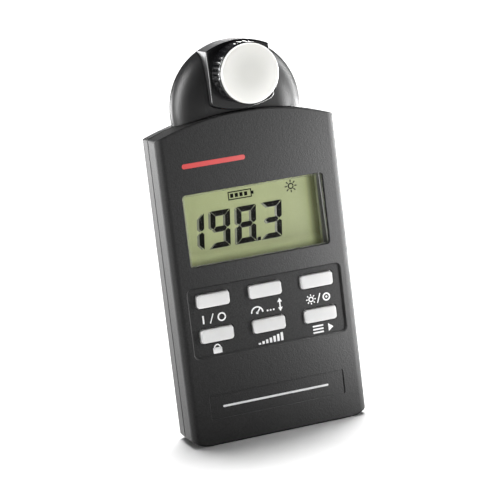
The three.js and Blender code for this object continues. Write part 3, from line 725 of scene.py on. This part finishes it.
def head_rear():
    parting = PARTING + GAP / 2
    inner = HEAD_RADIUS - HEAD_WALL
    shell = head_half(parting, HEAD_BACK, 1)
    join(shell, parting_lip(arc(0, HEAD_Z, inner + 0.2, 0, 2 * math.pi, 96)[:-1],
                            arc(0, HEAD_Z, inner - 0.5, 0, 2 * math.pi, 96)[:-1]))
    shell = above_case(shell)
    join(shell, neck_half(parting, 5.8, 6.8))
    for x, z in HEAD_SCREWS:
        join(shell, bar("boss", 2.9, x, z, parting + GAP, 5.6, 32))
        cut(shell, bar("well", 2.1, x, z, 3.4, 9, 32), bar("bore", 1, x, z, -3, 4, 16))
    piece(shell, "head_rear_half", "case", head_plastic, ["head_rear_shell"])


def sensor_block():
    """The block between the cheeks: glossy in front, matt on its other faces."""
    front, back = -10.35, -1.3
    tube_front, gloss_depth = -17.1, 0.42
    shell = soft_plate("block", lambda inset: block_outline(-inset), front, back, 0.55, 0.1, 6)
    cut(shell, prism("hollow", block_outline(-1.5), front + 1.8, 0))
    wings = box("wings", -12.6, 12.6, -4.9, -3.7, 114.6, 120)
    cut(wings, box("between", -9.45, 9.45, -6, -2, 114, 121))
    join(shell, wings, bar("tube", 8, 0, SENSOR_Z, tube_front, front + 1.8, 96))
    cut(shell, bar("bore", 6, 0, SENSOR_Z, tube_front - 1, front + 3, 96))
    made = piece(shell, "sensor_housing", "case", block_matt, ["sensor_block"])
    made.data.materials.append(block_gloss)
    for polygon in made.data.polygons:
        if polygon.center.y < (front + gloss_depth) * MM:
            polygon.material_index = 1


def knurled_collar():
    """A ring with rounded ribs that run out before its rounded ends."""
    front, back, radius, ribs, depth = -18.75, -10.65, 10.2, 32, 0.45
    per_rib = 12

    def ring(size, y, rib_share):
        points = []
        for i in range(ribs * per_rib):
            phase = (i % per_rib) / per_rib
            crest = 0.5 - 0.5 * math.cos(2 * math.pi * phase)
            groove = depth * rib_share * (1 - crest ** 0.6)
            angle = 2 * math.pi * i / (ribs * per_rib)
            reach = size - groove
            points.append((reach * math.cos(angle), y, SENSOR_Z + reach * math.sin(angle)))
        return points

    outside = [(front, 0.75, 0), (front + 0.06, 0.4, 0), (front + 0.2, 0.16, 0),
               (front + 0.5, 0.02, 0.1), (front + 0.75, 0, 0.7), (front + 1.0, 0, 1),
               (back - 1.0, 0, 1), (back - 0.7, 0, 0.8), (back - 0.4, 0.05, 0.3),
               (back - 0.15, 0.2, 0), (back, 0.45, 0)]
    rings = [ring(radius - inset, y, share) for y, inset, share in outside]
    bore, seat, seat_depth = 8.3, 9.0, 1.5
    rings += [ring(bore, back, 0), ring(bore, front + seat_depth, 0),
              ring(seat, front + seat_depth, 0), ring(seat, front, 0)]
    made = loft("collar", rings, closed=True)
    piece(made, "grip_collar", "collar", gloss_black, ["knurled_collar"], 40)


def diffuser():
    """A shallow dome with a soft rim, and the spigot that sits in the collar."""
    radius, front, back, spigot = 9.8, -21, -19.05, 8.7
    crown, rim_width, rim_depth = 0.32, 0.75, 0.6
    dome = []
    for i in range(25):
        share = i / 24
        r = (radius - rim_width) * share
        dome.append((max(r, 0.02), front + crown * share ** 2.4))
    rim = [(radius - rim_width + rim_width * math.sin(a),
            front + crown + rim_depth * (1 - math.cos(a)))
           for a in [i / 8 * math.pi / 2 for i in range(1, 9)]]
    profile = dome + rim + [
        (radius, back - 0.15), (radius - 0.15, back), (spigot, back), (spigot, back + 1.35),
        (spigot - 0.15, back + 1.5), (spigot - 1.3, back + 1.5), (spigot - 1.3, front + 1.5),
        (0.02, front + 1.3)]
    made = turned("dome", profile, 0, SENSOR_Z, 128)
    piece(made, "diffuser_dome", "collar", diffuser_white, ["diffuser"], 40)


# ---- keys

def key_cap(name, x, z):
    """A softly crowned cap on its flange and stem."""
    front, flange_front, flange_back, stem_back = -9.9, -7.4, -6.8, -6.4
    outline = key_rect(x, z)
    rings = [at_y(outline(-2.0), front), at_y(outline(-1.3), front + 0.015),
             at_y(outline(-0.8), front + 0.04)]
    for inset, depth in reversed(quarter(0.6, 6)):
        rings.append(at_y(outline(-inset), front + 0.06 + depth))
    rings.append(at_y(outline(0), flange_front))
    cap = loft("cap", rings)
    flange = soft_plate("flange", key_rect(x, z, 0.8), flange_front, flange_back)
    stem = box("stem", x - 2.5, x + 2.5, flange_back - 0.2, stem_back, z - 1.2, z + 1.2)
    join(cap, flange, stem)
    piece(cap, name + "_cap", name, key_plastic, [name], 50)


# ---- display

def display_window():
    """A clear pane with a raised plateau whose bevelled edge fills the opening."""
    pane = soft_plate(
        "pane", rect(dict(x=0, z=WINDOW["z"], width=53.2, height=27.7, radius=1.5)),
        -7.6, -6.6, 0.08, 0.08)
    spec = dict(WINDOW, width=WINDOW["width"] - 0.5, height=WINDOW["height"] - 0.5, radius=1.0)
    outline = rect(spec)
    plateau = loft("plateau", [
        at_y(outline(-0.45), -9.45), at_y(outline(-0.35), -9.43), at_y(outline(0), -9.05),
        at_y(outline(0), -7.4),
    ])
    join(pane, plateau)
    made = piece(pane, "display_pane", "case", window_clear, ["display_window"])
    # The bevel faces get the paler colour as a painted highlight along the pane's edge.
    made.data.materials.append(window_edge)
    for polygon in made.data.polygons:
        if polygon.normal.y > -0.95 and polygon.center.y < -7.7 * MM:
            polygon.material_index = 1


def window_end():
    """The dark step at the right end of the display, and beside it a pale lip and a white line that
    are painted highlights.
    """
    low, high, back = 59.6, 85.8, -5.2
    step = box("step", 23.75, 25.75, -6.5, back, low, high)
    piece(step, "window_end_step", "case", window_step)
    # Painted highlight: a pale olive strip in place of light caught at the cell's edge.
    lip = box("lip", 23.3, 23.72, -6.1, back, low, high)
    piece(lip, "window_end_lip", "case", lcd_pale)
    # Painted highlight: a white stroke in place of the light the thick pane's edge throws back.
    line = prism("line", strip(((25.25, low), (24.6, high)), 0.22), -6.58, -6.45)
    piece(line, "window_end_line", "case", ink_and_painted_highlight_white)


def merged(name, shapes):
    """One object holding several separate closed shapes."""
    data = bmesh.new()
    for shape in shapes:
        data.from_mesh(shape.data)
        spent = shape.data
        bpy.data.objects.remove(shape)
        bpy.data.meshes.remove(spent)
    mesh = bpy.data.meshes.new(name)
    data.to_mesh(mesh)
    data.free()
    obj = bpy.data.objects.new(name, mesh)
    bpy.context.scene.collection.objects.link(obj)
    return obj


DIGITS, DIGIT_LEFT, DIGIT_PITCH = "1983", -24.75, 9.2
DIGIT_LOW, DIGIT_HIGH = 65.05, 77.4
DIGIT_WIDTH, SLANT, STROKE, BREAK = 6.9, 0.1, 1.75, 0.15
DIGIT_SEGMENTS = {"1": "bc", "9": "abcdfg", "8": "abcdefg", "3": "abcdg"}


def segment_outlines(digit, left):
    """Bevelled seven-segment outlines, slanted; left is the digit's lower left corner."""
    w, h, s, b = DIGIT_WIDTH, DIGIT_HIGH - DIGIT_LOW, STROKE, BREAK
    mid = h / 2
    shapes = {
        "a": [(b, h), (w - b, h), (w - s - b, h - s), (s + b, h - s)],
        "d": [(s + b, s), (w - s - b, s), (w - b, 0), (b, 0)],
        "g": [(s * 0.6 + b, mid), (s + b, mid + s / 2), (w - s - b, mid + s / 2),
              (w - s * 0.6 - b, mid), (w - s - b, mid - s / 2), (s + b, mid - s / 2)],
        "f": [(0, h - b), (s, h - s - b), (s, mid + s / 2 + b), (s * 0.5, mid + b),
              (0, mid + s * 0.4 + b)],
        "b": [(w, h - b), (w, mid + s * 0.4 + b), (w - s * 0.5, mid + b),
              (w - s, mid + s / 2 + b), (w - s, h - s - b)],
        "e": [(0, b), (0, mid - s * 0.4 - b), (s * 0.5, mid - b), (s, mid - s / 2 - b), (s, s + b)],
        "c": [(w, b), (w - s, s + b), (w - s, mid - s / 2 - b), (w - s * 0.5, mid - b),
              (w, mid - s * 0.4 - b)],
    }
    out = []
    for segment in DIGIT_SEGMENTS[digit]:
        out.append([(left + px + SLANT * pz, DIGIT_LOW + pz) for px, pz in shapes[segment]])
    return out


def lcd():
    """The cell: reflector sheet, segments on it, and beside them painted shadows: dark sheets in
    place of the segments' soft shadows.
    """
    face = -5.0
    sheet = soft_plate("sheet", rect(dict(x=0, z=WINDOW["z"], width=52, height=26.2, radius=0.3)),
                       face + 0.06, -3.6, 0.05)
    piece(sheet, "lcd_cell", "case", lcd_olive, ["lcd_glass"])
    outlines = []
    for i, digit in enumerate(DIGITS):
        outlines += segment_outlines(digit, DIGIT_LEFT + DIGIT_PITCH * i)
    point_high = 66.2
    outlines.append([(1.05, DIGIT_LOW), (2.15, DIGIT_LOW), (2.27, point_high), (1.17, point_high)])
    marks = battery_mark(-7.4, 0.6, 80.2, 82.7) + sun_mark(14.8, 81.3, 0.85, 2.15, 0.4)
    dark = [prism("shape", o, face, face + 0.08) for o in outlines + marks]
    piece(merged("segments", dark), "lcd_segments", "case", segment_black)
    # Painted shadows: darker olive copies of the segments, shifted left and down, in place of the
    # shadows the segments cast on the reflector.
    painted_shadows = []
    for o in outlines:
        shifted = [(px - 0.8, pz - 0.15) for px, pz in o]
        painted_shadows.append(prism("shape", shifted, face + 0.03, face + 0.09))
    piece(merged("painted_shadows", painted_shadows), "lcd_shadows", "case", lcd_painted_shadow)


# ---- marks

def strip(points, width):
    """The outline of a straight stroke between two points."""
    (x0, z0), (x1, z1) = points
    length = math.dist((x0, z0), (x1, z1))
    nx, nz = -(z1 - z0) / length * width / 2, (x1 - x0) / length * width / 2
    return [(x0 + nx, z0 + nz), (x0 - nx, z0 - nz), (x1 - nx, z1 - nz), (x1 + nx, z1 + nz)]


def ring_part(x, z, radius, width, start, end, steps=16):
    """The outline of part of a ring, angles in degrees."""
    a, b = math.radians(start), math.radians(end)
    outer = arc(x, z, radius + width / 2, a, b, steps)
    return outer + list(reversed(arc(x, z, radius - width / 2, a, b, steps)))


def battery_mark(left, right, low, high):
    """A small cell drawn with four strokes, its end cap and four bars."""
    width, middle = 0.36, (low + high) / 2
    past = width / 2
    shapes = [strip(((x, low), (x, high)), width) for x in (left, right)]
    shapes += [strip(((left - past, z), (right + past, z)), width) for z in (high, low)]
    shapes.append(rounded_rect(right + 0.55, middle, 0.7, 1.1, 0.1, steps=2))
    shapes += [rounded_rect(left + 1.15 + 1.65 * i, middle, 1.1, 1.35, 0.1, steps=2)
               for i in range(4)]
    return shapes


def sun_mark(x, z, core, reach, width):
    """A small sun: a ring and eight rays."""
    shapes = [ring_part(x, z, core, width, 0, 352, 24)]
    for i in range(8):
        c, s = math.cos(math.pi * i / 4), math.sin(math.pi * i / 4)
        shapes.append(strip(((x + (core + 0.45) * c, z + (core + 0.45) * s),
                             (x + reach * c, z + reach * s)), width * 0.9))
    return shapes


def double_arrow(x, z, reach, width):
    """Arrow heads up and down on one short stem."""
    shapes = []
    for side in (1, -1):
        tip, base = z + side * reach, z + side * (reach - 1.4)
        shapes.append([(x, tip), (x - 0.85 * side, base), (x + 0.85 * side, base)])
        shapes.append(strip(((x, base), (x, z + side * 0.02)), width))
    return shapes


def inked(outline, floor):
    """A thin printed layer on the surface at y=floor."""
    return prism("shape", outline, floor - INK_PROUD, floor + INK_SUNK)


def key_marks():
    """Simple generic symbols printed below the keys, in rows at top and low."""
    w = 0.5
    top, low = 42.7, 32.2
    # key_power: stroke and ring
    shapes = [strip(((-22.6, top - 1.4), (-22.6, top + 1.4)), 0.55),
              strip(((-20.3, top - 1.6), (-19.0, top + 1.6)), 0.36),
              ring_part(-16.1, top, 1.25, w, 0, 354, 28)]
    # key_auto: dial with its hand, three dots, double arrow
    shapes += [ring_part(-3.6, top - 1.0, 2.0, w, 0, 180),
               strip(((-3.6, top - 1.0), (-2.5, top + 0.35)), 0.45),
               rounded_rect(-3.6, top - 1.0, 0.9, 0.9, 0.4, steps=4)]
    shapes += [rounded_rect(0.1 + 1.1 * i, top - 0.9, 0.6, 0.6, 0.2, steps=3) for i in range(3)]
    shapes += double_arrow(4.7, top + 0.35, 2.3, w)
    # key_unit: sun and ring
    shapes += sun_mark(15.9, top, 0.75, 1.75, 0.42)
    shapes += [strip(((18.1, top - 1.6), (19.3, top + 1.6)), 0.36)]
    shapes += [ring_part(21.5, top, 1.15, w, 0, 354, 28),
               rounded_rect(21.5, top, 0.7, 0.7, 0.3, steps=4)]
    # key_hold: padlock
    shapes += [rounded_rect(-18.9, low - 0.45, 3.1, 2.0, 0.3, steps=3),
               ring_part(-18.9, low + 0.5, 1.0, 0.45, 0, 180),
               strip(((-19.9, low + 0.5), (-19.9, low - 0.1)), 0.45),
               strip(((-17.9, low + 0.5), (-17.9, low - 0.1)), 0.45)]
    # key_range: rising bars
    for i in range(7):
        height = 0.6 + 0.36 * i
        shapes.append(rounded_rect(-4 + 1.35 * i, low - 1.4 + height / 2, 0.85, height, 0.08,
                                   steps=2))
    # key_memory: list and arrow head
    for i in range(3):
        shapes.append(rounded_rect(17.3, low - 1.1 + 1.1 * i, 3.8, 0.55, 0.1, steps=2))
    shapes += [[(21.0, low + 1.35), (22.8, low), (21.0, low - 1.35)]]
    made = merged("marks", [inked(shape, FRONT + FIELD_DEPTH) for shape in shapes])
    piece(made, "key_marks", "case", ink_and_painted_highlight_white)


def face_marks():
    """Plain bars in the places of the two printed names."""
    red = inked(rounded_rect(-12.65, 94.3, 22.0, 1.6, 0.7), FRONT)
    piece(red, "face_bar", "case", ink_red)
    white = inked(rounded_rect(-0.6, 12.7, 38.0, 0.7, 0.3), FRONT + LABEL_DEPTH)
    piece(white, "label_bar", "case", ink_and_painted_highlight_white)


# ---- screws

CASE_SCREW = dict(head_y=7.4, tip_y=-6.4, head_radius=2.4, shank_radius=1, head_height=1.6,
                  recess=0.9)
HEAD_SCREW = dict(head_y=4.9, tip_y=-5.2, head_radius=1.8, shank_radius=0.7, head_height=1.2,
                  recess=0.7)


def screw(name, x, z, head_y, tip_y, head_radius, shank_radius, head_height, recess):
    """A cross-head screw from the rear, its thread drawn as rings."""
    under = head_y - head_height
    profile = [(0.02, tip_y), (shank_radius * 0.4, tip_y)]
    pitch, slot_half = 0.7, 0.28
    y = tip_y + 0.6
    while y < under - 1.2:
        profile += [(shank_radius * 0.8, y), (shank_radius, y + pitch / 2)]
        y += pitch
    profile += [(shank_radius, under - 0.6), (shank_radius, under), (head_radius - 0.1, under),
                (head_radius, under + 0.1)]
    for inset, depth in quarter(0.5, 6):
        profile.append((head_radius - inset, head_y - depth))
    profile += [(0.02, head_y)]
    made = turned(name, profile, x, z, 48)
    reach = head_radius * 0.6
    for across, along in ((reach, slot_half), (slot_half, reach)):
        outline = [(x - across, z - along), (x + across, z - along), (x + across, z + along),
                   (x - across, z + along)]
        tip = [(x + (px - x) * 0.6, z + (pz - z) * 0.6) for px, pz in outline]
        cut(made, loft("slot", [at_y(outline, head_y + 1), at_y(outline, head_y - recess * 0.4),
                                at_y(tip, head_y - recess)]))
    piece(made, name + "_detail", "case", screw_metal, [name], 40)


# ---- assembly

front_cover()
rear_cover()
battery_cover()
head_front()
head_rear()
sensor_block()
knurled_collar()
diffuser()
for key_name, (key_x, key_z) in KEYS.items():
    key_cap(key_name, key_x, key_z)
display_window()
window_end()
lcd()
key_marks()
face_marks()
for i, (screw_x, screw_z) in enumerate(CASE_SCREWS):
    screw(f"case_screw_{i + 1}", screw_x, screw_z, **CASE_SCREW)
for i, (screw_x, screw_z) in enumerate(HEAD_SCREWS):
    screw(f"head_screw_{i + 1}", screw_x, screw_z, **HEAD_SCREW)

CAD_MATERIALS = {
    "filter_glass": filter_green, "photodiode": can_metal, "sensor_board": board_green,
    "sensor_ribbon": ribbon_film, "display_frame": inner_black,
    "contact_strip_lower": strip_rubber, "contact_strip_upper": strip_rubber,
    "keypad_mat": silicone, "main_board": board_green, "processor_chip": chip_epoxy,
    "crystal_can": can_metal, "boost_coil": coil_ferrite,
    "storage_capacitor": capacitor_sleeve, "battery_cell": cell_jacket,
    "battery_spring": contact_metal, "spring_plate": contact_metal,
    "positive_contact": contact_metal, "battery_lead_positive": lead_red,
    "battery_lead_negative": lead_black,
}
for node_name, node_material in CAD_MATERIALS.items():
    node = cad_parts[node_name]
    if node.data.materials:
        for index in range(len(node.data.materials)):
            node.data.materials[index] = node_material
    else:
        node.data.materials.append(node_material)

# ---- floor, light, camera

FLOOR_HALF = 12000
floor_corners = [(FLOOR_HALF * sx, FLOOR_HALF * sy, 0)
                 for sx, sy in ((-1, -1), (1, -1), (1, 1), (-1, 1))]
floor = mesh_object("floor", floor_corners, [(0, 1, 2, 3)])
floor_paper = moulded("floor_paper", (0.86, 0.86, 0.86), 0.9, 2.0, 0.002, 0.01,
                      Specular_IOR_Level=0.0)
floor.data.materials.append(floor_paper)


def area_light(name, position, target, width, height, power):
    """A white rectangular lamp at position, turned towards target; mm and watts."""
    data = bpy.data.lights.new(name, "AREA")
    data.shape = "RECTANGLE"
    data.size, data.size_y = width * MM, height * MM
    data.energy = power
    lamp = bpy.data.objects.new(name, data)
    bpy.context.scene.collection.objects.link(lamp)
    lamp.location = Vector(position) * MM
    toward = (Vector(target) - Vector(position)).normalized()
    lamp.rotation_mode = "QUATERNION"
    lamp.rotation_quaternion = toward.to_track_quat("-Z", "Y")
    lamp.visible_camera = False
    return lamp


world = bpy.data.worlds.new("studio")
bpy.context.scene.world = world
world.use_nodes = True
backdrop = world.node_tree.nodes["Background"]
backdrop.inputs["Color"].default_value = (1, 1, 1, 1)
backdrop.inputs["Strength"].default_value = 0.12

sun_data = bpy.data.lights.new("overhead", "SUN")
sun_data.energy = 6.4
sun_data.angle = math.radians(40)
sun = bpy.data.objects.new("overhead", sun_data)
bpy.context.scene.collection.objects.link(sun)
sun.visible_glossy = False
sun.rotation_mode = "QUATERNION"
sun.rotation_quaternion = Vector((-0.16, -0.30, -0.93)).to_track_quat("-Z", "Y")

right_strip = area_light("right_strip", (58, -38, 58), (10, -9.7, 58), 12, 112, 0.5)
right_side = area_light("right_side", (260, 60, 32), (20, 0, 50), 120, 62, 1.7)
right_head = area_light("right_head", (230, 8, 170), (20, -4, 120), 24, 220, 1.7)
left_rear = area_light("left_rear", (-420, 700, 90), (-20, 0, 60), 420, 160, 9.8)
top_rear = area_light("top_rear", (240, 700, 200), (0, 0, 110), 200, 100, 1.4)
left_head = area_light("left_head", (-260, -30, 200), (-20, -2, 125), 80, 270, 4.2)
front_fill = area_light("front_fill", (-200, -600, 80), (0, 0, 60), 200, 100, 0.45)
front_fill.visible_glossy = False
# These show in reflections only; the sun and the front fill light the surfaces.
for lamp in (right_strip, right_side, right_head, left_rear, left_head, top_rear):
    lamp.visible_diffuse = False

# From a perspective fit to the photograph
view_direction = Vector((0.3174, 0.9315, -0.1778))
camera_right = Vector((0.9329, -0.3404, -0.1178))
camera_up = Vector((0.1703, 0.1284, 0.977))
camera_place = Vector((-232.03, -679.48, 191.06)) * MM
camera_data = bpy.data.cameras.new("camera")
camera_data.sensor_width = 36
camera_data.lens = 156.33
camera_data.clip_start = 0.05
camera_data.clip_end = 60
camera = bpy.data.objects.new("camera", camera_data)
bpy.context.scene.collection.objects.link(camera)
camera_axes = Matrix((camera_right, camera_up, -view_direction)).transposed()
camera.matrix_world = Matrix.Translation(camera_place) @ camera_axes.to_4x4()
bpy.context.scene.camera = camera
bpy.context.scene.view_settings.view_transform = "Standard"
